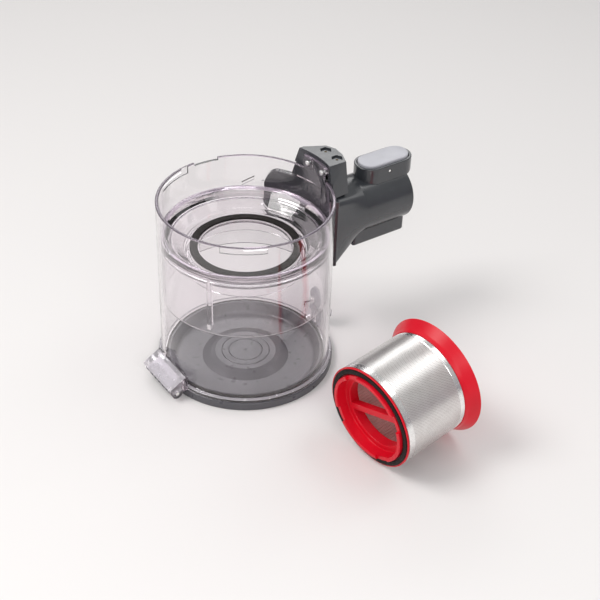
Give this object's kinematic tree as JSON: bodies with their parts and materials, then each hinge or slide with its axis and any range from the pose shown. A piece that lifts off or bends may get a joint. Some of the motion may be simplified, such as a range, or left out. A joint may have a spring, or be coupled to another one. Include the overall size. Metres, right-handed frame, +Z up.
{
  "type": "vacuum cleaner dust cup with cyclone filter",
  "caption": "Clear dust cup of a cordless handheld vacuum with wand connector, hinged bottom lid and latch, and its metal mesh cyclone filter lying beside it.",
  "frame": {"origin": "on the floor under the dust cup's axis, on the closed lid's underside", "axes": "+X along the wand socket towards its mouth, +Z up, +Y away from the filter"},
  "size_m": [0.2072, 0.23, 0.1415],
  "materials": {
    "clear_plastic": "clear polished polycarbonate with a faint violet cast at its edges",
    "charcoal_plastic": "satin moulded ABS",
    "lid_plastic": "satin moulded ABS",
    "button_plastic": "light grey satin",
    "smoke_plastic": "translucent grey",
    "red_plastic": "satin moulded",
    "black_rubber": "matt",
    "steel": "bright",
    "steel_mesh": "fine woven mesh with polished end bands",
    "brass": "plated"
  },
  "bodies": {
    "cup": {"cup_shell": "clear_plastic", "vortex_insert": "clear_plastic", "insert_gasket": "black_rubber", "connector_body": "charcoal_plastic", "terminal_tower": "charcoal_plastic", "tower_contact_near": "brass", "tower_contact_far": "brass", "tower_screw_near": "steel", "tower_screw_far": "steel", "keel_housing": "charcoal_plastic", "keel_contact_near": "brass", "keel_contact_far": "brass", "button_collar": "charcoal_plastic", "button_pin": "steel", "button_spring": "steel", "hinge_pin": "steel", "latch_pin": "steel", "latch_spring": "steel"},
    "lid": {"bottom_lid": "lid_plastic", "lid_seal": "black_rubber"},
    "latch": {"lid_latch": "smoke_plastic"},
    "button": {"wand_button": "button_plastic", "button_lever": "charcoal_plastic"},
    "filter": {"filter_end_ring": "red_plastic", "filter_seal": "black_rubber", "filter_collar": "red_plastic", "filter_mesh_drum": "steel_mesh", "filter_skirt": "red_plastic", "filter_end_cap": "red_plastic"}
  },
  "joints": [
    {"name": "lid_hinge", "type": "hinge", "parent": "cup", "child": "lid", "pos_m": [-0.066, 0, 0.006], "axis": [0, 1, 0], "range_deg": [0, 100]},
    {"name": "latch_pivot", "type": "hinge", "parent": "cup", "child": "latch", "pos_m": [0.066, 0, 0.015], "axis": [0, -1, 0], "range_deg": [0, 8], "stiffness_Nm_per_rad": 0.05, "springref_deg": -2.86},
    {"name": "button_pivot", "type": "hinge", "parent": "cup", "child": "button", "pos_m": [0.1113, 0, 0.12147], "axis": [0, -1, 0], "range_deg": [0, 4], "stiffness_Nm_per_rad": 0.1, "springref_deg": -2.86},
    {"name": "filter_lift", "type": "slide", "parent": "cup", "child": "filter", "axis": [0, 0, 1], "range_m": [0, 0.12]}
  ]
}
